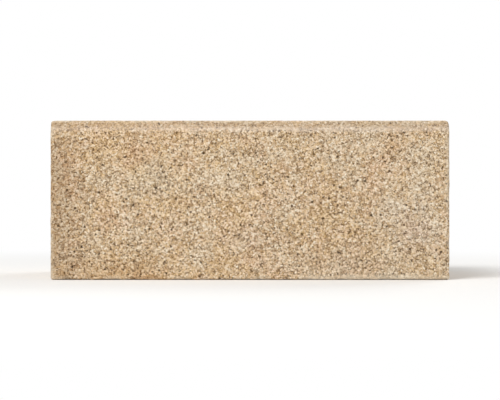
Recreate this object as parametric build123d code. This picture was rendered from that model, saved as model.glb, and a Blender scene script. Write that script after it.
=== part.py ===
from build123d import *

import os

# Driving dimensions in millimetres. X runs along the wall, -Y is the show face and +Z is up.
# The origin lies in the bottom bed, under the middle of the block.
LENGTH = 400.0  # end to end, one stretcher of the half bond
DEPTH = 200.0  # show face to back face
HEIGHT = 160.0  # bottom bed to top bed, one course
BEVEL_RISE = 10.0  # how far the bevel of a top arris reaches down its face
BEVEL_RUN = 7.0  # how far that bevel reaches in over the top bed
SHOULDER_RADIUS = 6.0  # rounding where a face turns into its bevel
ARRIS_RADIUS = 2.5  # rounding of all other arrises, because pressed concrete keeps no sharp edge


def end_section():
    """The block seen end on: upright faces, flat beds, both top corners cut back and the shoulders rounded."""
    face = DEPTH / 2
    crest = face - BEVEL_RUN
    shoulder = HEIGHT - BEVEL_RISE
    outline = Polygon(
        (-face, 0),
        (face, 0),
        (face, shoulder),
        (crest, HEIGHT),
        (-crest, HEIGHT),
        (-face, shoulder),
        align=None,
    )
    shoulders = outline.vertices().group_by(Axis.Y)[1]
    return fillet(shoulders, SHOULDER_RADIUS)


def pressed_block():
    """The end section carried along the wall, with the arrises of the beds and of both ends softened."""
    body = extrude(Plane.YZ * end_section(), LENGTH / 2, both=True)
    end_arrises = body.faces().filter_by(Axis.X).edges()
    long_arrises = body.edges().filter_by(Axis.X).group_by(Axis.Z)
    foot_arrises, crest_arrises = long_arrises[0], long_arrises[-1]
    return fillet(end_arrises + foot_arrises + crest_arrises, ARRIS_RADIUS)


os.makedirs("parts", exist_ok=True)
export_step(pressed_block(), "parts/wall_block.step")
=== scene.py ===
"""Looks of a pressed concrete wall block with blasted faces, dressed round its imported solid."""

import logging
import math
from collections.abc import Callable
from dataclasses import dataclass
from enum import Enum, IntEnum
from typing import Any, NamedTuple

import bpy
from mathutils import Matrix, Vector


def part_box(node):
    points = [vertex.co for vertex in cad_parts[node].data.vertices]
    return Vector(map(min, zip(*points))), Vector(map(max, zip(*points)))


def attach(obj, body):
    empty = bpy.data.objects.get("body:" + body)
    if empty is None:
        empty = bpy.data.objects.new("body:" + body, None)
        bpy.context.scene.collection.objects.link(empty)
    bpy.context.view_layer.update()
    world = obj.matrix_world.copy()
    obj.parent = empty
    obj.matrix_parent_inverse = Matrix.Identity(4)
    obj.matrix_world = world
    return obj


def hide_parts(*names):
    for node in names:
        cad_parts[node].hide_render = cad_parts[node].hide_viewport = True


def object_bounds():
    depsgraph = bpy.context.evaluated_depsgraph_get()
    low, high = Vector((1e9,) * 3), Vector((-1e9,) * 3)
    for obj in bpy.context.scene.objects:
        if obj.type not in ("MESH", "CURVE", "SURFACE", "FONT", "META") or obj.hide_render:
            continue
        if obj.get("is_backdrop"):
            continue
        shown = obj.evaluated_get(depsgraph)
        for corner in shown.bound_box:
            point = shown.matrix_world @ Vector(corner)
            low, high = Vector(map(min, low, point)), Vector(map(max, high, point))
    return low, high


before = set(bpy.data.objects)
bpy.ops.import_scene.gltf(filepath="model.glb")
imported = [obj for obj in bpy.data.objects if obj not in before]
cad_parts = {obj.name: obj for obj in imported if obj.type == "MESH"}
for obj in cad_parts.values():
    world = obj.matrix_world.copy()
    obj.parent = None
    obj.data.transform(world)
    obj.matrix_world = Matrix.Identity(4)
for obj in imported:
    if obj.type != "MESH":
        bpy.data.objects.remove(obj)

log = logging.getLogger("wall_block")

MM = 0.001
FRAME_WIDTH_PX = 500
SQUARE = 0.9  # a face points square up or down past this share of its normal
TURNED = 0.5  # a face looks mainly one way past this share
STRAIGHT = 0.99  # an edge runs along an axis past this share of its length
QUAD_SIDES = 4
LEVEL = math.radians(90)  # tips a camera up from looking straight down
SUM_WEIGHTS = (1.0, 1.0, 1.0)
BYTE_MAX = 255
SRGB_KNEE = 0.04045
SRGB_SLOPE = 12.92
SRGB_OFFSET = 0.055
SRGB_POWER = 2.4


class Axis(IntEnum):
    """Directions of the block: along the wall, through it and up."""

    ALONG = 0
    THROUGH = 1
    UP = 2


class ColourMix(IntEnum):
    """Sockets of a Mix node that mixes colours."""

    FACTOR = 0
    BELOW = 6
    ABOVE = 7
    RESULT = 2


class ValueMix(IntEnum):
    """Sockets of a Mix node that mixes numbers."""

    FACTOR = 0
    BELOW = 2
    ABOVE = 3
    RESULT = 0


class VectorRange(IntEnum):
    """Sockets of a Map Range node that works on vectors."""

    VECTOR = 6
    FROM_MIN = 7
    FROM_MAX = 8
    RESULT = 1


class MeshPart(Enum):
    """What is selected in edit mode."""

    FACES = "FACE"
    EDGES = "EDGE"


class Blend(Enum):
    """How a patch of colour lies on the concrete."""

    # laid over the colour, for films and for painted highlights
    FILM = "MIX"
    TINT = "COLOR"
    # darkens the colour, for soaked-in stains and for painted shade
    SOAKED = "MULTIPLY"


def linear(hex_colour: str) -> tuple[float, float, float, float]:
    """Turns an sRGB hex colour to the linear colour that a socket takes.

    Args:
        hex_colour: A colour such as "#c8ad8b".

    Returns:
        Red, green, blue and an alpha of 1.
    """
    shares = [byte / BYTE_MAX for byte in bytes.fromhex(hex_colour.lstrip("#"))]
    red, green, blue = (
        c / SRGB_SLOPE if c <= SRGB_KNEE else ((c + SRGB_OFFSET) / (1 + SRGB_OFFSET)) ** SRGB_POWER
        for c in shares
    )
    return red, green, blue, 1.0


def add_node(
    tree: bpy.types.NodeTree,
    kind: str,
    feeds: dict[str | int, Any] | None = None,
    **settings: Any,
) -> bpy.types.Node:
    """Adds one node with its settings and feeds its inputs.

    Args:
        tree: The node tree that takes the node.
        kind: The node's type name.
        feeds: For each input, by name or number, the socket that feeds it or the value that it holds.
        **settings: Properties of the node itself.

    Returns:
        The new node.
    """
    node = tree.nodes.new(kind)
    for name, value in settings.items():
        setattr(node, name, value)
    for name, value in (feeds or {}).items():
        if isinstance(value, bpy.types.NodeSocket):
            tree.links.new(value, node.inputs[name])
        else:
            node.inputs[name].default_value = value
    return node


def pick(block: bpy.types.Object, part: MeshPart, wanted: Callable[[Any], bool]) -> None:
    """Leaves an object in edit mode with only the wanted faces or edges selected.

    Args:
        block: The active mesh object.
        part: Whether it is faces or edges that are selected.
        wanted: Says of one face or edge whether it is selected.
    """
    bpy.ops.object.mode_set(mode="EDIT")
    bpy.ops.mesh.select_mode(type=part.value)
    bpy.ops.mesh.select_all(action="DESELECT")
    bpy.ops.object.mode_set(mode="OBJECT")
    elements = block.data.polygons if part is MeshPart.FACES else block.data.edges
    for element in elements:
        element.select = wanted(element)
    bpy.ops.object.mode_set(mode="EDIT")


class Grain(NamedTuple):
    """Sockets that tell the grain of the concrete at a place."""

    height: bpy.types.NodeSocket
    tone: bpy.types.NodeSocket
    hue: bpy.types.NodeSocket
    voids: bpy.types.NodeSocket


@dataclass(frozen=True)
class GrainField:
    """Grain of the concrete: quartz grit, finer sand between it, and pits where paste was blown out.

    The sand is drawn as coarse as it needs to show, because the camera sees about 1 mm to a pixel.
    """

    grit_mm: float = 1.85
    sand_mm: float = 0.95
    pit_mm: float = 1.65
    pit_octaves: float = 0.0
    wander_mm: float = 3.0  # the lumps of the noise that makes the grains uneven
    wander_by_mm: float = 0.8
    dome: tuple[float, float] = (0.2, 0.8)  # where a flat top ends and its foot lies, in grain sizes
    pit_edge: tuple[float, float] = (0.16, 0.42)  # the noise at a pit's rim and at its bottom
    void_mm: float = 9.0
    void_edge: tuple[float, float] = (0.16, 0.08)  # a void's rim and its bottom, in void spacings
    height_shares: tuple[float, float, float] = (0.42, 0.26, -0.9)  # of grit, sand and holes
    height_floor: float = 0.32
    # the height's share darkens the pits and the gaps between grains: partly dirt, partly painted shade
    tone_shares: tuple[float, float, float] = (0.44, 0.22, 0.34)  # of grit's shade, sand's and the height

    def add(self, tree: bpy.types.NodeTree, place: bpy.types.NodeSocket) -> Grain:
        """Adds the grain to a tree, of a material or of a modifier.

        Args:
            tree: The tree that takes the nodes.
            place: Position on the block, in metres.

        Returns:
            The sockets that give height, tone, hue and voids, each from about 0 to 1.
        """
        wander = add_node(
            tree,
            "ShaderNodeTexNoise",
            {"Vector": place, "Scale": 1 / (self.wander_mm * MM)},
            normalize=False,
        )
        moved = add_node(
            tree,
            "ShaderNodeVectorMath",
            {0: wander.outputs["Color"], 1: (self.wander_by_mm * MM,) * len(Axis), 2: place},
            operation="MULTIPLY_ADD",
        )
        tops, shades = [], []
        for size in (self.grit_mm, self.sand_mm):
            cells = add_node(
                tree, "ShaderNodeTexVoronoi", {"Vector": moved.outputs[0], "Scale": 1 / (size * MM)}
            )
            top, foot = self.dome
            dome = add_node(
                tree,
                "ShaderNodeMapRange",
                {
                    "Value": cells.outputs["Distance"],
                    "From Min": top,
                    "From Max": foot,
                    "To Min": 1.0,
                    "To Max": 0.0,
                },
                interpolation_type="SMOOTHSTEP",
            )
            tops.append(dome.outputs["Result"])
            shades.append(add_node(tree, "ShaderNodeSeparateXYZ", {0: cells.outputs["Color"]}))
        hollows = add_node(
            tree,
            "ShaderNodeTexNoise",
            {
                "Vector": moved.outputs[0],
                "Scale": 1 / (self.pit_mm * MM),
                "Detail": self.pit_octaves,
            },
            normalize=False,
        )
        rim, bottom = self.pit_edge
        pits = add_node(
            tree,
            "ShaderNodeMapRange",
            {"Value": hollows.outputs[0], "From Min": rim, "From Max": bottom},
            interpolation_type="SMOOTHSTEP",
        )
        bubbles = add_node(
            tree, "ShaderNodeTexVoronoi", {"Vector": moved.outputs[0], "Scale": 1 / (self.void_mm * MM)}
        )
        rim, bottom = self.void_edge
        voids = add_node(
            tree,
            "ShaderNodeMapRange",
            {"Value": bubbles.outputs["Distance"], "From Min": rim, "From Max": bottom},
            interpolation_type="SMOOTHSTEP",
        )
        holes = add_node(
            tree,
            "ShaderNodeMath",
            {0: pits.outputs["Result"], 1: voids.outputs["Result"]},
            operation="MAXIMUM",
        )
        heights = add_node(tree, "ShaderNodeCombineXYZ", {0: tops[0], 1: tops[1], 2: holes.outputs[0]})
        weighed = add_node(
            tree,
            "ShaderNodeVectorMath",
            {0: heights.outputs[0], 1: self.height_shares},
            operation="DOT_PRODUCT",
        )
        height = add_node(
            tree,
            "ShaderNodeMath",
            {0: weighed.outputs["Value"], 1: self.height_floor},
            operation="ADD",
            use_clamp=True,
        )
        tones = add_node(
            tree,
            "ShaderNodeCombineXYZ",
            {0: shades[0].outputs[0], 1: shades[1].outputs[0], 2: height.outputs[0]},
        )
        tone = add_node(
            tree,
            "ShaderNodeVectorMath",
            {0: tones.outputs[0], 1: self.tone_shares},
            operation="DOT_PRODUCT",
        )
        return Grain(
            height.outputs[0], tone.outputs["Value"], shades[0].outputs[1], voids.outputs["Result"]
        )


@dataclass(frozen=True)
class CementSkin:
    """Smooth skin of cement that the mould left.

    The blast took it off the show face and the back. It stays on the beds and ends, and a little of it
    on the bevels.
    """

    face: float
    shoulder: float
    crest: float
    edge_mm: float = 1.5
    sunk_mm: tuple[float, float] = (2.0, 4.0)  # how far in from a blasted face the skin begins and is full
    pressed_share: float = 0.6
    bevel_share: float = 0.35
    ragged_mm: float = 12.0
    ragged_by_mm: tuple[float, float, float] = (6.0, 0.0, 1.5)
    ragged_octaves: float = 3.0

    def add(self, tree: bpy.types.NodeTree, place: bpy.types.NodeSocket) -> bpy.types.NodeSocket:
        """Adds the skin's cover to a tree, of a material or of a modifier.

        Args:
            tree: The tree that takes the nodes.
            place: Position on the block, in metres.

        Returns:
            The share of skin that is left: 0 where the grain is bare, 1 where the skin is whole.
        """
        rags = add_node(
            tree,
            "ShaderNodeTexNoise",
            {"Vector": place, "Scale": 1 / (self.ragged_mm * MM), "Detail": self.ragged_octaves},
            normalize=False,
        )
        moved = add_node(
            tree,
            "ShaderNodeVectorMath",
            {0: rags.outputs["Color"], 1: [x * MM for x in self.ragged_by_mm], 2: place},
            operation="MULTIPLY_ADD",
        )
        _, through, up = add_node(tree, "ShaderNodeSeparateXYZ", {0: moved.outputs[0]}).outputs
        out = add_node(tree, "ShaderNodeMath", {0: through}, operation="ABSOLUTE").outputs[0]
        edge = self.edge_mm * MM
        near, far = (sunk * MM for sunk in self.sunk_mm)
        covers = []
        for way, start, end, share in (
            (out, self.face - near, self.face - far, self.pressed_share),
            (out, self.crest - 2 * edge, self.crest, 1.0),
            (up, self.shoulder - edge, self.shoulder + edge, 1.0),
        ):
            cover = add_node(
                tree,
                "ShaderNodeMapRange",
                {"Value": way, "From Min": start, "From Max": end, "To Max": share},
                interpolation_type="SMOOTHSTEP",
            )
            covers.append(cover.outputs["Result"])
        pressed, beyond_crest, above_shoulder = covers
        bevels = add_node(
            tree, "ShaderNodeMath", {0: beyond_crest, 1: above_shoulder}, operation="MULTIPLY"
        )
        skin = add_node(
            tree,
            "ShaderNodeMix",
            {
                ValueMix.FACTOR: bevels.outputs[0],
                ValueMix.BELOW: pressed,
                ValueMix.ABOVE: self.bevel_share,
            },
            data_type="FLOAT",
        )
        return skin.outputs[ValueMix.RESULT]


@dataclass(frozen=True)
class Arrises:
    """Where the faces of the block meet, which is where it is scuffed and chipped first."""

    low: Vector
    high: Vector
    crest: float
    corner_reach_mm: float = 6.0
    crest_reach_mm: float = 3.0

    def add(self, tree: bpy.types.NodeTree, place: bpy.types.NodeSocket) -> bpy.types.NodeSocket:
        """Adds the nearness of the arrises to a tree, of a material or of a modifier.

        Args:
            tree: The tree that takes the nodes.
            place: Position on the block, in metres.

        Returns:
            1 on an arris, falling to 0 at its reach.
        """
        middle = (self.high + self.low) / 2
        half = (self.high - self.low) / 2
        centred = add_node(tree, "ShaderNodeVectorMath", {0: place, 1: middle}, operation="SUBTRACT")
        sides = add_node(tree, "ShaderNodeVectorMath", {0: centred.outputs[0]}, operation="ABSOLUTE")
        out = add_node(tree, "ShaderNodeSeparateXYZ", {0: sides.outputs[0]}).outputs[Axis.THROUGH]
        up = add_node(tree, "ShaderNodeSeparateXYZ", {0: centred.outputs[0]}).outputs[Axis.UP]
        section = add_node(tree, "ShaderNodeCombineXYZ", {Axis.THROUGH: out, Axis.UP: up})
        corners = self.add_meeting(tree, sides.outputs[0], half, self.corner_reach_mm)
        crest = Vector((half.x, self.crest, half.z))
        crests = self.add_meeting(tree, section.outputs[0], crest, self.crest_reach_mm)
        arris = add_node(tree, "ShaderNodeMath", {0: corners, 1: crests}, operation="MAXIMUM")
        return arris.outputs[0]

    def add_meeting(
        self, tree: bpy.types.NodeTree, place: bpy.types.NodeSocket, corner: Vector, reach_mm: float
    ) -> bpy.types.NodeSocket:
        """Adds the nearness of a place to where two of a corner's three faces meet.

        Args:
            tree: The tree that takes the nodes.
            place: Position from the middle of the block, in metres.
            corner: The corner, from the middle of the block.
            reach_mm: How far from the corner's faces a place still counts as near.

        Returns:
            1 where two faces meet, falling to 0 at the reach.
        """
        near = add_node(
            tree,
            "ShaderNodeMapRange",
            {
                VectorRange.VECTOR: place,
                VectorRange.FROM_MIN: corner - Vector((reach_mm * MM,) * len(Axis)),
                VectorRange.FROM_MAX: corner,
            },
            data_type="FLOAT_VECTOR",
            interpolation_type="SMOOTHSTEP",
        )
        faces = add_node(
            tree,
            "ShaderNodeVectorMath",
            {0: near.outputs[VectorRange.RESULT], 1: SUM_WEIGHTS},
            operation="DOT_PRODUCT",
        )
        meeting = add_node(
            tree,
            "ShaderNodeMath",
            {0: faces.outputs["Value"], 1: 1.0},
            operation="SUBTRACT",
            use_clamp=True,
        )
        return meeting.outputs[0]


@dataclass(frozen=True)
class StainAndPaintedLight:
    """A patch of colour on the block, with a ragged, fading edge: some are stains, some painted shade or
    highlights.

    Its middle is measured along from the left end, in from the show face and up from the bottom bed, and
    its reach is how far it goes from there in each of those ways.
    """

    name: str
    middle_mm: tuple[float, float, float]
    reach_mm: tuple[float, float, float]
    colour: str
    strength: float
    blend: Blend


# stains of the show face, and light and shade painted on it
SHOW_FACE_STAINS_AND_PAINTED_LIGHT = (
    # painted shade and some dirt, darkening the left end as a joint's shadow would
    StainAndPaintedLight(
        "painted joint shade and dirt at the left end",
        middle_mm=(0, 0, 80),
        reach_mm=(50, 40, 190),
        colour="#d3c6b6",
        strength=0.80,
        blend=Blend.SOAKED,
    ),
    StainAndPaintedLight(
        "faint shade at the upper left",
        middle_mm=(85, 0, 128),
        reach_mm=(100, 40, 45),
        colour="#f2e9da",
        strength=0.50,
        blend=Blend.SOAKED,
    ),
    StainAndPaintedLight(
        "brown stain at the bottom left",
        middle_mm=(66, 0, 2),
        reach_mm=(90, 40, 38),
        colour="#dfc596",
        strength=0.60,
        blend=Blend.SOAKED,
    ),
    StainAndPaintedLight(
        "grey patch at the right",
        middle_mm=(365, 0, 54),
        reach_mm=(52, 40, 54),
        colour="#bcbab5",
        strength=0.22,
        blend=Blend.TINT,
    ),
    StainAndPaintedLight(
        "orange spot at the upper right",
        middle_mm=(346, 0, 137),
        reach_mm=(28, 40, 20),
        colour="#dca468",
        strength=0.20,
        blend=Blend.TINT,
    ),
    StainAndPaintedLight(
        "paler paste at the bottom right",
        middle_mm=(295, 0, 14),
        reach_mm=(110, 40, 30),
        colour="#c9b8a0",
        strength=0.35,
        blend=Blend.TINT,
    ),
    StainAndPaintedLight(
        "grey spot below the middle",
        middle_mm=(190, 0, 40),
        reach_mm=(30, 40, 22),
        colour="#b9b4aa",
        strength=0.22,
        blend=Blend.TINT,
    ),
    StainAndPaintedLight(
        "grey spot left of the middle",
        middle_mm=(95, 0, 96),
        reach_mm=(60, 40, 30),
        colour="#b9b19f",
        strength=0.20,
        blend=Blend.TINT,
    ),
    # painted highlight along the shoulder, where the bevel turns to the show face, with some rubbing of the
    # arris
    StainAndPaintedLight(
        "painted highlight and rubbed line along the shoulder",
        middle_mm=(260, 0, 151),
        reach_mm=(480, 40, 4.5),
        colour="#fbeadb",
        strength=0.27,
        blend=Blend.FILM,
    ),
    # painted shade that darkens the bevel, which faces up to the lamp
    StainAndPaintedLight(
        "painted shade on the bevel",
        middle_mm=(200, 3.5, 155.5),
        reach_mm=(700, 7, 8),
        colour="#dfd9d2",
        strength=0.6,
        blend=Blend.SOAKED,
    ),
    # a pale film on the foot at the right, partly painted light that lifts the shadow along the bottom
    # arris
    StainAndPaintedLight(
        "pale film and painted light on the foot at the right",
        middle_mm=(340, 0, 2),
        reach_mm=(110, 40, 7),
        colour="#eedfc6",
        strength=0.60,
        blend=Blend.FILM,
    ),
)


@dataclass(frozen=True)
class BlastedConcrete:
    """Sand-coloured concrete, pressed in a mould and blasted.

    The eye sees pale grains of quartz sand in a beige paste, with brown pits between them, and patches
    where the paste is yellower, pinker or greyer. The pits are darkened partly by dirt and partly by
    painted shade. Where the skin of cement is left, it is smoother and a little greyer. The paste is dead
    matt, and the bare quartz has a faint sheen.
    """

    grain: GrainField
    skin: CementSkin
    arrises: Arrises
    corner: Vector  # where the left end, the show face and the bottom bed meet
    stains_and_painted_light: tuple[StainAndPaintedLight, ...]
    tones: tuple[tuple[float, str], ...] = (
        (0.12, "#4e381f"),
        (0.29, "#95754b"),
        (0.46, "#c9a87d"),
        (0.63, "#e2c8a3"),
        (0.86, "#faefdb"),
    )
    # the tone left at a void's bottom: painted shade in the hollow, with some dirt
    void_tone_share: float = 0.35
    skin_tone: float = 0.49
    skin_tone_share: float = 0.6
    skin_colour: str = "#b4a798"
    skin_colour_share: float = 0.5
    pastes: tuple[str, ...] = ("#cba467", "#d7a48b", "#bab4a8")
    patch_mm: float = 42.0
    patch_octaves: float = 4.0
    patch_roughness: float = 0.72
    patch_edge: tuple[float, float] = (0.4, 0.6)  # the noise where a patch begins and is full
    paste_share: float = 0.27
    grain_hue_share: float = 0.25
    scuff_colour: str = "#e6d6bd"
    scuff_share: float = 0.55
    scuff_edge: tuple[float, float] = (-0.15, 0.25)  # the noise where a scuff begins and is full
    stain_and_light_core: float = 0.0  # the share of a patch's reach within which it is full
    ragged_mm: float = 26.0
    ragged_share: float = 0.3
    ragged_octaves: float = 5.0
    ior: float = 1.5
    paste_roughness: float = 0.96
    quartz_roughness: float = 0.72
    bump_mm: float = 0.4

    def material(self) -> bpy.types.Material:
        """Builds the material on Object coordinates.

        Returns:
            The material.
        """
        material = bpy.data.materials.new("blasted_sand_concrete")
        material.use_nodes = True
        tree = material.node_tree
        shader = tree.nodes["Principled BSDF"]
        shader.inputs["IOR"].default_value = self.ior
        place = add_node(tree, "ShaderNodeTexCoord").outputs["Object"]
        grain = self.grain.add(tree, place)
        skin = self.skin.add(tree, place)
        colour = self.add_tones(tree, grain, skin)
        colour = self.add_paste(tree, place, grain, colour)
        colour = self.add_skin(tree, skin, colour)
        rags = add_node(
            tree,
            "ShaderNodeTexNoise",
            {"Vector": place, "Scale": 1 / (self.ragged_mm * MM), "Detail": self.ragged_octaves},
            normalize=False,
        )
        for stain in self.stains_and_painted_light:
            colour = self.add_stain_or_painted_light(tree, place, rags.outputs["Color"], colour, stain)
        colour = self.add_scuffs(tree, place, rags.outputs[0], colour)
        (darkest, _), *_, (palest, _) = self.tones
        rough = add_node(
            tree,
            "ShaderNodeMapRange",
            {
                "Value": grain.tone,
                "From Min": darkest,
                "From Max": palest,
                "To Min": self.paste_roughness,
                "To Max": self.quartz_roughness,
            },
        )
        unfilled = add_node(
            tree,
            "ShaderNodeMapRange",
            {"Value": skin, "To Min": 1.0, "To Max": 1.0 - self.skin_tone_share},
        )
        bump = add_node(
            tree,
            "ShaderNodeBump",
            {"Height": grain.height, "Distance": self.bump_mm * MM, "Strength": unfilled.outputs["Result"]},
        )
        for name, socket in (
            ("Base Color", colour),
            ("Roughness", rough.outputs["Result"]),
            ("Normal", bump.outputs["Normal"]),
        ):
            tree.links.new(socket, shader.inputs[name])
        return material

    def add_tones(
        self, tree: bpy.types.NodeTree, grain: Grain, skin: bpy.types.NodeSocket
    ) -> bpy.types.NodeSocket:
        """Colours the grain from pit brown to quartz cream, more evenly under the skin. The pits and voids
        are darkened partly by dirt and partly by painted shade.

        Args:
            tree: The material's tree.
            grain: The grain at a place.
            skin: The share of skin there.

        Returns:
            The colour of the grain.
        """
        veil = add_node(
            tree, "ShaderNodeMath", {0: skin, 1: self.skin_tone_share}, operation="MULTIPLY"
        )
        tone = add_node(
            tree,
            "ShaderNodeMix",
            {
                ValueMix.FACTOR: veil.outputs[0],
                ValueMix.BELOW: grain.tone,
                ValueMix.ABOVE: self.skin_tone,
            },
            data_type="FLOAT",
        )
        # painted shade in the voids: the tone falls towards void_tone_share at a void's bottom
        left = add_node(
            tree,
            "ShaderNodeMapRange",
            {"Value": grain.voids, "To Min": 1.0, "To Max": self.void_tone_share},
        )
        shaded = add_node(
            tree,
            "ShaderNodeMath",
            {0: tone.outputs[ValueMix.RESULT], 1: left.outputs["Result"]},
            operation="MULTIPLY",
        )
        ramp = add_node(tree, "ShaderNodeValToRGB", {"Fac": shaded.outputs[0]})
        stops = ramp.color_ramp.elements
        for position, _ in self.tones[len(stops) :]:
            stops.new(position)
        for stop, (position, hex_colour) in zip(stops, self.tones):
            stop.position = position
            stop.color = linear(hex_colour)
        return ramp.outputs["Color"]

    def add_paste(
        self,
        tree: bpy.types.NodeTree,
        place: bpy.types.NodeSocket,
        grain: Grain,
        colour: bpy.types.NodeSocket,
    ) -> bpy.types.NodeSocket:
        """Tints the colour warmer and cooler, in wide patches and from grain to grain.

        Args:
            tree: The material's tree.
            place: Position on the block, in metres.
            grain: The grain at that place.
            colour: The colour to tint.

        Returns:
            The tinted colour.
        """
        patches = add_node(
            tree,
            "ShaderNodeTexNoise",
            {
                "Vector": place,
                "Scale": 1 / (self.patch_mm * MM),
                "Detail": self.patch_octaves,
                "Roughness": self.patch_roughness,
            },
        )
        chances = add_node(tree, "ShaderNodeSeparateXYZ", {0: patches.outputs["Color"]}).outputs
        paste = linear(self.pastes[0])
        for chance, hex_colour in zip(chances, self.pastes[1:]):
            from_grain = add_node(
                tree,
                "ShaderNodeMix",
                {
                    ValueMix.FACTOR: self.grain_hue_share,
                    ValueMix.BELOW: chance,
                    ValueMix.ABOVE: grain.hue,
                },
                data_type="FLOAT",
            )
            start, end = self.patch_edge
            cover = add_node(
                tree,
                "ShaderNodeMapRange",
                {"Value": from_grain.outputs[ValueMix.RESULT], "From Min": start, "From Max": end},
            )
            paste = add_node(
                tree,
                "ShaderNodeMix",
                {
                    ColourMix.FACTOR: cover.outputs["Result"],
                    ColourMix.BELOW: paste,
                    ColourMix.ABOVE: linear(hex_colour),
                },
                data_type="RGBA",
            ).outputs[ColourMix.RESULT]
        tinted = add_node(
            tree,
            "ShaderNodeMix",
            {
                ColourMix.FACTOR: self.paste_share,
                ColourMix.BELOW: colour,
                ColourMix.ABOVE: paste,
            },
            data_type="RGBA",
            blend_type=Blend.TINT.value,
        )
        return tinted.outputs[ColourMix.RESULT]

    def add_skin(
        self, tree: bpy.types.NodeTree, skin: bpy.types.NodeSocket, colour: bpy.types.NodeSocket
    ) -> bpy.types.NodeSocket:
        """Lays the skin of cement over the colour.

        Args:
            tree: The material's tree.
            skin: The share of skin at a place.
            colour: The colour below the skin.

        Returns:
            The colour with the skin.
        """
        cover = add_node(
            tree, "ShaderNodeMath", {0: skin, 1: self.skin_colour_share}, operation="MULTIPLY"
        )
        covered = add_node(
            tree,
            "ShaderNodeMix",
            {
                ColourMix.FACTOR: cover.outputs[0],
                ColourMix.BELOW: colour,
                ColourMix.ABOVE: linear(self.skin_colour),
            },
            data_type="RGBA",
        )
        return covered.outputs[ColourMix.RESULT]

    def add_scuffs(
        self,
        tree: bpy.types.NodeTree,
        place: bpy.types.NodeSocket,
        rags: bpy.types.NodeSocket,
        colour: bpy.types.NodeSocket,
    ) -> bpy.types.NodeSocket:
        """Lightens the arrises where they were scuffed.

        Args:
            tree: The material's tree.
            place: Position on the block, in metres.
            rags: Noise about 0 that breaks the scuffs up.
            colour: The colour below the scuffs.

        Returns:
            The scuffed colour.
        """
        start, end = self.scuff_edge
        chance = add_node(
            tree,
            "ShaderNodeMapRange",
            {"Value": rags, "From Min": start, "From Max": end, "To Max": self.scuff_share},
        )
        cover = add_node(
            tree,
            "ShaderNodeMath",
            {0: chance.outputs["Result"], 1: self.arrises.add(tree, place)},
            operation="MULTIPLY",
        )
        scuffed = add_node(
            tree,
            "ShaderNodeMix",
            {
                ColourMix.FACTOR: cover.outputs[0],
                ColourMix.BELOW: colour,
                ColourMix.ABOVE: linear(self.scuff_colour),
            },
            data_type="RGBA",
        )
        return scuffed.outputs[ColourMix.RESULT]

    def add_stain_or_painted_light(
        self,
        tree: bpy.types.NodeTree,
        place: bpy.types.NodeSocket,
        rags: bpy.types.NodeSocket,
        colour: bpy.types.NodeSocket,
        stain: StainAndPaintedLight,
    ) -> bpy.types.NodeSocket:
        """Lays one patch, a stain or painted light or shade, over the colour.

        Args:
            tree: The material's tree.
            place: Position on the block, in metres.
            rags: Noise about 0 that makes the patch's edge ragged.
            colour: The colour below the stain.
            stain: The patch: a stain, or painted light or shade.

        Returns:
            The stained colour.
        """
        inside = add_node(
            tree,
            "ShaderNodeMapping",
            {
                "Vector": place,
                "Location": self.corner + Vector(stain.middle_mm) * MM,
                "Scale": Vector(stain.reach_mm) * MM,
            },
            vector_type="TEXTURE",
        )
        ragged = add_node(
            tree,
            "ShaderNodeVectorMath",
            {0: rags, 1: (self.ragged_share,) * len(Axis), 2: inside.outputs[0]},
            operation="MULTIPLY_ADD",
        )
        away = add_node(tree, "ShaderNodeVectorMath", {0: ragged.outputs[0]}, operation="LENGTH")
        cover = add_node(
            tree,
            "ShaderNodeMapRange",
            {
                "Value": away.outputs["Value"],
                "From Min": self.stain_and_light_core,
                "From Max": 1.0,
                "To Min": stain.strength,
                "To Max": 0.0,
            },
            interpolation_type="SMOOTHSTEP",
        )
        stained = add_node(
            tree,
            "ShaderNodeMix",
            {
                ColourMix.FACTOR: cover.outputs["Result"],
                ColourMix.BELOW: colour,
                ColourMix.ABOVE: linear(stain.colour),
            },
            data_type="RGBA",
            blend_type=stain.blend.value,
            label=stain.name,
        )
        return stained.outputs[ColourMix.RESULT]


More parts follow.
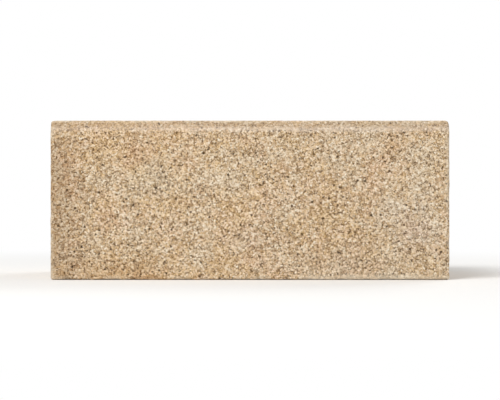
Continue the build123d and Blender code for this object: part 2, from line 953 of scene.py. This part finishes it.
@dataclass
class WallBlock:
    """The block itself: one pressed piece with bevelled top arrises, blasted faces and a little wear."""

    node: str
    low: Vector
    high: Vector
    bevel_rise: float = 10 * MM
    bevel_run: float = 7 * MM
    arris_radius: float = 2.5 * MM
    cell: float = 4.55 * MM  # of the bottom bed, halved elsewhere and halved again on the show face
    bevel_cells: int = 3
    relief_depth: float = 1.0 * MM
    back_share: float = 0.6
    skin_power: float = 2.0  # how fast the skin fills the grain as it thickens
    core_inset: float = 9 * MM  # how deep the core lies that the surface sinks towards
    rubbed_share: float = 0.35  # of the relief that is left on an arris
    wear_depth: float = 1.5 * MM
    wear_lump: float = 11 * MM
    wear_octaves: float = 3.0
    wear_range: tuple[float, float] = (0.4, 0.8)  # the noise where the wear begins and is full
    chip_depth: float = 3.0 * MM
    chip_lump: float = 24 * MM
    chip_range: tuple[float, float] = (0.58, 0.70)  # the same for the chips

    def build(self) -> bpy.types.Object:
        """Models the block, dresses it and sets it in the frame in place of its plain solid.

        Returns:
            The finished block.
        """
        finish = self.finish()
        block = self.press()
        self.divide(block)
        self.soften_arrises(block)
        self.blast(block, finish)
        bpy.ops.object.shade_smooth()
        block.data.materials.append(finish.material())
        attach(block, "root")
        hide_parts(self.node)
        return block

    def finish(self) -> BlastedConcrete:
        """Fits the concrete's skin, arrises, stains and painted light and shade to the block.

        Returns:
            The finish.
        """
        crest = self.high.y - self.bevel_run
        skin = CementSkin(face=self.high.y, shoulder=self.high.z - self.bevel_rise, crest=crest)
        arrises = Arrises(self.low, self.high, crest)
        return BlastedConcrete(GrainField(), skin, arrises, self.low, SHOW_FACE_STAINS_AND_PAINTED_LIGHT)

    def press(self) -> bpy.types.Object:
        """Makes the plain block: a box up to the shoulders, its top drawn up and in to form the bevels.

        Returns:
            The plain block, active and selected.
        """
        bpy.ops.object.select_all(action="DESELECT")
        size = self.high - self.low
        middle = (self.high + self.low) / 2
        body = Vector((size.x, size.y, size.z - self.bevel_rise))
        bpy.ops.mesh.primitive_cube_add(
            size=1, location=(middle.x, middle.y, self.low.z + body.z / 2), scale=body
        )
        block = bpy.context.object
        block.name = "blasted_wall_block"
        bpy.ops.object.transform_apply(location=True, rotation=True, scale=True)
        pick(block, MeshPart.FACES, lambda face: face.normal.z > SQUARE)
        bpy.ops.mesh.extrude_region_move(TRANSFORM_OT_translate={"value": (0, 0, self.bevel_rise)})
        bpy.ops.transform.resize(value=(1, (size.y - 2 * self.bevel_run) / size.y, 1))
        bpy.ops.object.mode_set(mode="OBJECT")
        return block

    def divide(self, block: bpy.types.Object) -> None:
        """Cuts the faces into small cells: finest on the show face, coarse on the hidden bottom bed.

        The bottom bed gets a row of narrow cells round its rim, for the rounded arris there. Where fine
        cells meet coarse ones, the coarse ones are cut into triangles.

        Args:
            block: The plain block.
        """
        size = self.high - self.low
        edge_sets = (
            (size.x / self.cell, lambda edge: self.runs(block, edge, Axis.ALONG)),
            (size.y / self.cell, lambda edge: self.runs(block, edge, Axis.THROUGH)),
            ((size.z - self.bevel_rise) / self.cell, lambda edge: self.rises(block, edge)),
            (self.bevel_cells, lambda edge: self.slopes(block, edge)),
        )
        for cells, wanted in edge_sets:
            pick(block, MeshPart.EDGES, wanted)
            bpy.ops.mesh.subdivide(number_cuts=round(cells) - 1)
            bpy.ops.object.mode_set(mode="OBJECT")
        pick(block, MeshPart.FACES, lambda face: face.normal.z < -SQUARE)
        bpy.ops.mesh.inset(thickness=self.arris_radius)
        bpy.ops.object.mode_set(mode="OBJECT")
        for wanted in (lambda face: face.normal.z > -SQUARE, lambda face: face.normal.y < -TURNED):
            pick(block, MeshPart.FACES, wanted)
            bpy.ops.mesh.subdivide(number_cuts=1)
            bpy.ops.object.mode_set(mode="OBJECT")
        pick(block, MeshPart.FACES, lambda face: face.loop_total > QUAD_SIDES)
        bpy.ops.mesh.quads_convert_to_tris(ngon_method="BEAUTY")
        bpy.ops.object.mode_set(mode="OBJECT")

    def runs(self, block: bpy.types.Object, edge: bpy.types.MeshEdge, axis: Axis) -> bool:
        """Says whether an edge runs along an axis.

        Args:
            block: The block that has the edge.
            edge: The edge.
            axis: The axis.

        Returns:
            True where the edge is parallel to the axis.
        """
        start, end = (block.data.vertices[at].co for at in edge.vertices)
        return abs(end[axis] - start[axis]) > STRAIGHT * (end - start).length

    def slopes(self, block: bpy.types.Object, edge: bpy.types.MeshEdge) -> bool:
        """Says whether an edge climbs a bevel.

        Args:
            block: The block that has the edge.
            edge: The edge.

        Returns:
            True where the edge crosses the middle of a bevel's height.
        """
        ends = [block.data.vertices[at].co.z for at in edge.vertices]
        return min(ends) < self.high.z - self.bevel_rise / 2 < max(ends)

    def rises(self, block: bpy.types.Object, edge: bpy.types.MeshEdge) -> bool:
        """Says whether an edge stands upright below the shoulders.

        Args:
            block: The block that has the edge.
            edge: The edge.

        Returns:
            True where the edge is upright and not on a bevel.
        """
        return self.runs(block, edge, Axis.UP) and not self.slopes(block, edge)

    def soften_arrises(self, block: bpy.types.Object) -> None:
        """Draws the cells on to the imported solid, whose arrises are rounded.

        Args:
            block: The divided block.
        """
        wrap = block.modifiers.new("rounded_arrises", "SHRINKWRAP")
        wrap.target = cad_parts[self.node]
        wrap.wrap_method = "NEAREST_SURFACEPOINT"
        bpy.ops.object.modifier_apply(modifier=wrap.name)

    def blast(self, block: bpy.types.Object, finish: BlastedConcrete) -> None:
        """Sinks the surface between its grains and wears its arrises, always inwards.

        Args:
            block: The block with rounded arrises.
            finish: The finish, whose grain the surface follows.
        """
        relief = block.modifiers.new("blasted_relief", "NODES")
        relief.node_group = self.relief_tree(finish)
        bpy.ops.object.modifier_apply(modifier=relief.name)

    def relief_tree(self, finish: BlastedConcrete) -> bpy.types.NodeTree:
        """Builds the geometry nodes that sink the surface.

        Args:
            finish: The finish, whose grain the surface follows.

        Returns:
            The node tree.
        """
        tree = bpy.data.node_groups.new("blasted_relief", "GeometryNodeTree")
        for way in ("INPUT", "OUTPUT"):
            tree.interface.new_socket("Geometry", in_out=way, socket_type="NodeSocketGeometry")
        source = add_node(tree, "NodeGroupInput")
        place = add_node(tree, "GeometryNodeInputPosition").outputs[0]
        grain = finish.grain.add(tree, place)
        arris = finish.arrises.add(tree, place)
        sunk = add_node(tree, "ShaderNodeMath", {0: 1.0, 1: grain.height}, operation="SUBTRACT")
        loss = add_node(
            tree,
            "ShaderNodeMath",
            {
                0: sunk.outputs[0],
                1: self.add_depth(tree, place, finish.skin, arris),
                2: self.add_wear(tree, place, arris),
            },
            operation="MULTIPLY_ADD",
        )
        offset = add_node(
            tree,
            "ShaderNodeVectorMath",
            {0: self.add_inwards(tree, place), "Scale": loss.outputs[0]},
            operation="SCALE",
        )
        moved = add_node(
            tree, "GeometryNodeSetPosition", {"Geometry": source.outputs[0], "Offset": offset.outputs[0]}
        )
        add_node(tree, "NodeGroupOutput", {0: moved.outputs[0]})
        return tree

    def add_inwards(self, tree: bpy.types.NodeTree, place: bpy.types.NodeSocket) -> bpy.types.NodeSocket:
        """Adds the way inwards: straight in from a face, and turning slowly round an arris.

        The slow turn keeps the cells of an arris from folding over each other.

        Args:
            tree: The modifier's tree.
            place: Position on the block, in metres.

        Returns:
            The direction from the place to the nearest point of the block's core, of length 1.
        """
        inset = Vector((self.core_inset,) * len(Axis))
        core = place
        for limit, operation in ((self.low + inset, "MAXIMUM"), (self.high - inset, "MINIMUM")):
            kept = add_node(tree, "ShaderNodeVectorMath", {0: core, 1: limit}, operation=operation)
            core = kept.outputs[0]
        way = add_node(tree, "ShaderNodeVectorMath", {0: core, 1: place}, operation="SUBTRACT")
        inwards = add_node(tree, "ShaderNodeVectorMath", {0: way.outputs[0]}, operation="NORMALIZE")
        return inwards.outputs[0]

    def add_depth(
        self,
        tree: bpy.types.NodeTree,
        place: bpy.types.NodeSocket,
        skin: CementSkin,
        arris: bpy.types.NodeSocket,
    ) -> bpy.types.NodeSocket:
        """Adds the depth of the relief: less at the back, under the skin and on the arrises.

        Args:
            tree: The modifier's tree.
            place: Position on the block, in metres.
            skin: The skin of cement, which fills the grain.
            arris: The nearness of the arrises, where the grain is rubbed off.

        Returns:
            The depth in metres.
        """
        through = add_node(tree, "ShaderNodeSeparateXYZ", {0: place}).outputs[Axis.THROUGH]
        depth = add_node(
            tree,
            "ShaderNodeMapRange",
            {
                "Value": through,
                "From Min": self.low.y,
                "From Max": self.high.y,
                "To Min": self.relief_depth,
                "To Max": self.relief_depth * self.back_share,
            },
        )
        bare = add_node(tree, "ShaderNodeMath", {0: 1.0, 1: skin.add(tree, place)}, operation="SUBTRACT")
        unfilled = add_node(
            tree, "ShaderNodeMath", {0: bare.outputs[0], 1: self.skin_power}, operation="POWER"
        )
        unrubbed = add_node(
            tree, "ShaderNodeMapRange", {"Value": arris, "To Min": 1.0, "To Max": self.rubbed_share}
        )
        for share in (unfilled, unrubbed):
            depth = add_node(
                tree, "ShaderNodeMath", {0: depth.outputs[0], 1: share.outputs[0]}, operation="MULTIPLY"
            )
        return depth.outputs[0]

    def add_wear(
        self, tree: bpy.types.NodeTree, place: bpy.types.NodeSocket, arris: bpy.types.NodeSocket
    ) -> bpy.types.NodeSocket:
        """Adds the wear of the arrises: lumpy loss all along and a few deeper chips.

        Args:
            tree: The modifier's tree.
            place: Position on the block, in metres.
            arris: The nearness of the arrises.

        Returns:
            The loss in metres.
        """
        losses = []
        for lump, depth, (least, most) in (
            (self.wear_lump, self.wear_depth, self.wear_range),
            (self.chip_lump, self.chip_depth, self.chip_range),
        ):
            lumps = add_node(
                tree,
                "ShaderNodeTexNoise",
                {"Vector": place, "Scale": 1 / lump, "Detail": self.wear_octaves},
            )
            loss = add_node(
                tree,
                "ShaderNodeMapRange",
                {"Value": lumps.outputs[0], "From Min": least, "From Max": most, "To Max": depth},
            )
            losses.append(loss.outputs["Result"])
        both = add_node(tree, "ShaderNodeMath", {0: losses[0], 1: losses[1]}, operation="ADD")
        worn = add_node(tree, "ShaderNodeMath", {0: arris, 1: both.outputs[0]}, operation="MULTIPLY")
        return worn.outputs[0]


@dataclass
class Softbox:
    """A square area lamp that points at the block."""

    name: str
    place: tuple[float, float, float]
    side: float
    watts: float


@dataclass
class Studio:
    """Pale floor, soft light and a camera that looks straight at the show face, as in the photograph."""

    target: Vector
    face: float
    length: float
    softboxes: tuple[Softbox, ...]
    floor_side: float = 12.0  # metres, like the other lengths here
    floor_colour: str = "#f2f1ef"
    floor_fade: tuple[float, float] = (0.3, 0.9)  # how far from its middle the fade begins and is full
    background: str = "#ffffff"
    ambient: float = 0.44
    distance: float = 1.5
    block_px: float = 400.0
    sensor: float = 36.0  # millimetres, as a camera takes it

    def build(self) -> None:
        """Sets up floor, world, lamps and camera, and shows colours as they are written."""
        self.lay_floor()
        self.light_world()
        for softbox in self.softboxes:
            self.hang(softbox)
        self.stand_camera()
        bpy.context.scene.view_settings.view_transform = "Standard"

    def lay_floor(self) -> None:
        """Lays the floor, which keeps the block's shadow and fades to the background further away."""
        bpy.ops.object.select_all(action="DESELECT")
        bpy.ops.mesh.primitive_plane_add(size=self.floor_side)
        floor = bpy.context.object
        floor.name = "studio_floor"
        material = bpy.data.materials.new("matt_white_floor")
        material.use_nodes = True
        tree = material.node_tree
        tree.nodes.clear()
        matt = add_node(tree, "ShaderNodeBsdfDiffuse", {"Color": linear(self.floor_colour)})
        plain = add_node(tree, "ShaderNodeEmission", {"Color": linear(self.background)})
        place = add_node(tree, "ShaderNodeTexCoord").outputs["Object"]
        away = add_node(tree, "ShaderNodeVectorMath", {0: place}, operation="LENGTH")
        start, end = self.floor_fade
        fade = add_node(
            tree,
            "ShaderNodeMapRange",
            {
                "Value": away.outputs["Value"],
                "From Min": start,
                "From Max": end,
                "To Max": self.add_seen(tree),
            },
            interpolation_type="SMOOTHSTEP",
        )
        shown = add_node(
            tree,
            "ShaderNodeMixShader",
            {0: fade.outputs["Result"], 1: matt.outputs[0], 2: plain.outputs[0]},
        )
        add_node(tree, "ShaderNodeOutputMaterial", {"Surface": shown.outputs[0]})
        floor.data.materials.append(material)
        floor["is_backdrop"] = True

    def light_world(self) -> None:
        """Fills the room with even light and shows a white background."""
        world = bpy.data.worlds.new("studio_room")
        world.use_nodes = True
        tree = world.node_tree
        tree.nodes.clear()
        white = linear(self.background)
        room = add_node(tree, "ShaderNodeBackground", {"Color": white, "Strength": self.ambient})
        backdrop = add_node(tree, "ShaderNodeBackground", {"Color": white})
        shown = add_node(
            tree,
            "ShaderNodeMixShader",
            {0: self.add_seen(tree), 1: room.outputs[0], 2: backdrop.outputs[0]},
        )
        add_node(tree, "ShaderNodeOutputWorld", {"Surface": shown.outputs[0]})
        bpy.context.scene.world = world

    def add_seen(self, tree: bpy.types.NodeTree) -> bpy.types.NodeSocket:
        """Adds the test of whether a ray is seen: from the camera, in a reflection or through glass.

        Args:
            tree: The tree that takes the nodes.

        Returns:
            1 for a ray that is seen and 0 for one that only brings light.
        """
        rays = add_node(tree, "ShaderNodeLightPath")
        seen = rays.outputs["Is Camera Ray"]
        for way in ("Is Glossy Ray", "Is Transmission Ray"):
            either = add_node(tree, "ShaderNodeMath", {0: seen, 1: rays.outputs[way]}, operation="MAXIMUM")
            seen = either.outputs[0]
        return seen

    def hang(self, softbox: Softbox) -> None:
        """Hangs one softbox and turns it to the block.

        Args:
            softbox: The lamp's place, size and power.
        """
        bpy.ops.object.light_add(type="AREA", location=softbox.place)
        lamp = bpy.context.object
        lamp.name = softbox.name
        lamp.data.size = softbox.side
        lamp.data.energy = softbox.watts
        lamp.rotation_euler = (self.target - Vector(softbox.place)).to_track_quat("-Z", "Y").to_euler()

    def stand_camera(self) -> None:
        """Stands the camera square to the show face, with the block as wide as named in the picture."""
        bpy.ops.object.camera_add(
            location=(self.target.x, self.face - self.distance, self.target.z),
            rotation=(LEVEL, 0, 0),
        )
        camera = bpy.context.object
        seen_width = self.length * FRAME_WIDTH_PX / self.block_px
        camera.data.sensor_width = self.sensor
        camera.data.lens = self.sensor * self.distance / seen_width
        bpy.context.scene.camera = camera


def main() -> None:
    """Builds the block and its studio, and logs the block's triangles and the lamps."""
    cad_low, cad_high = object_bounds()
    block = WallBlock("wall_block", *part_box("wall_block")).build()
    block.data.calc_loop_triangles()
    log.info("%s: %d triangles", block.name, len(block.data.loop_triangles))
    studio = Studio(
        target=(cad_low + cad_high) / 2,
        face=cad_low.y,
        length=cad_high.x - cad_low.x,
        softboxes=(
            Softbox("key_softbox", place=(-0.8, -1.2, 1.9), side=1.1, watts=37.0),
            Softbox("back_softbox", place=(1.2, 1.6, 1.3), side=1.4, watts=20.0),
        ),
    )
    studio.build()
    log.info("studio: %d lamps", len(studio.softboxes))


if __name__ == "__main__":
    logging.basicConfig(level=logging.INFO)
    main()
